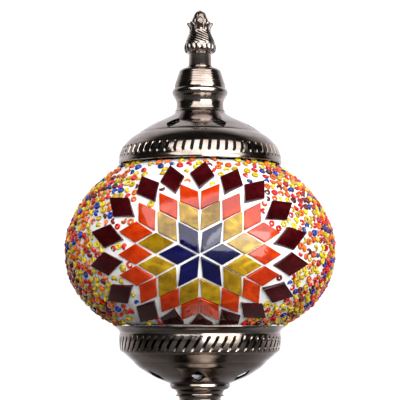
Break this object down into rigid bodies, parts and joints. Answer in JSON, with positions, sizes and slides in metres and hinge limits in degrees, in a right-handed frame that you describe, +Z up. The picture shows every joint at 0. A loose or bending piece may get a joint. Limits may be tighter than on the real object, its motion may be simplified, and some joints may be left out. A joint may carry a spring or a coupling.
{
  "type": "mosaic glass table lamp",
  "caption": "Table lamp with a mosaic glass globe of tiles and seed beads, set in pierced spun metal cup and cap, on a turned stem and weighted base.",
  "frame": {"origin": "centre of the underside of the felt pad, on the table", "axes": "+Z up along the stem; the front, with one glass star facing it, is -Y; the flex leaves at the back, +Y"},
  "size_m": [0.165, 0.166, 0.3685],
  "materials": {
    "felt": "matte",
    "pressed_steel": "satin",
    "cast_iron": "rough",
    "bronzed_metal": "polished dark antique bronze",
    "zinc_steel": "zinc plated",
    "spring_steel": "sprung strip",
    "black_rubber": "soft matte",
    "black_plastic": "moulded",
    "white_ceramic": "glazed ceramic",
    "brass": "bright",
    "bulb_clear": "clear",
    "nickel": "nickel plated",
    "black_glass": "vitrified",
    "phosphor": "coated",
    "blown_glass": "clear",
    "grout": "plaster",
    "bead_glass": "glossy mixed colours",
    "navy_glass": "streaky",
    "amber_glass": "streaky",
    "orange_glass": "streaky",
    "ruby_glass": "streaky"
  },
  "bodies": {
    "stand": {"felt_pad": "felt", "base_plate": "pressed_steel", "base_weight": "cast_iron", "base_shell": "bronzed_metal", "cord_bush": "black_rubber", "lamp_pipe": "zinc_steel", "lower_washer": "zinc_steel", "lower_nut": "zinc_steel", "stem_lower_ring": "bronzed_metal", "stem_baluster": "bronzed_metal", "stem_upper_ring": "bronzed_metal", "cup_collar": "bronzed_metal", "cup_shell": "bronzed_metal", "cup_washer": "zinc_steel", "cup_nut": "zinc_steel", "globe_gasket": "black_rubber", "holder_cap": "black_plastic", "holder_skirt": "black_plastic", "holder_insert": "white_ceramic", "holder_thread_shell": "brass", "holder_contact": "brass", "terminal_screws": "brass"},
    "bulb": {"bulb_glass": "bulb_clear", "bulb_screw_cap": "nickel", "bulb_insulator": "black_glass", "bulb_contact": "nickel", "bulb_mount": "bulb_clear", "bulb_filaments": "phosphor"},
    "globe": {"globe_glass": "blown_glass", "grout_skin": "grout", "bead_field": "bead_glass", "front_navy_tiles": "navy_glass", "front_amber_tiles": "amber_glass", "front_orange_tiles": "orange_glass", "front_ruby_tiles": "ruby_glass", "back_navy_tiles": "navy_glass", "back_amber_tiles": "amber_glass", "back_orange_tiles": "orange_glass", "back_ruby_tiles": "ruby_glass"},
    "cap": {"cap_shell": "bronzed_metal", "cap_gasket": "black_rubber", "cap_spring": "spring_steel", "cap_washer": "zinc_steel", "cap_nut": "zinc_steel", "cap_stud": "zinc_steel", "cap_neck": "bronzed_metal"},
    "finial": {"finial": "bronzed_metal"}
  },
  "joints": [
    {"name": "globe_lift", "type": "slide", "parent": "stand", "child": "globe", "axis": [0, 0, 1], "range_m": [0, 0.1]},
    {"name": "bulb_unscrew", "type": "slide", "parent": "stand", "child": "bulb", "axis": [0, 0, 1], "range_m": [0, 0.024]},
    {"name": "cap_lift", "type": "slide", "parent": "globe", "child": "cap", "axis": [0, 0, 1], "range_m": [0, 0.06]},
    {"name": "finial_turn", "type": "hinge", "parent": "cap", "child": "finial", "pos_m": [0, 0, 0.34], "axis": [0, 0, 1], "continuous": true}
  ]
}
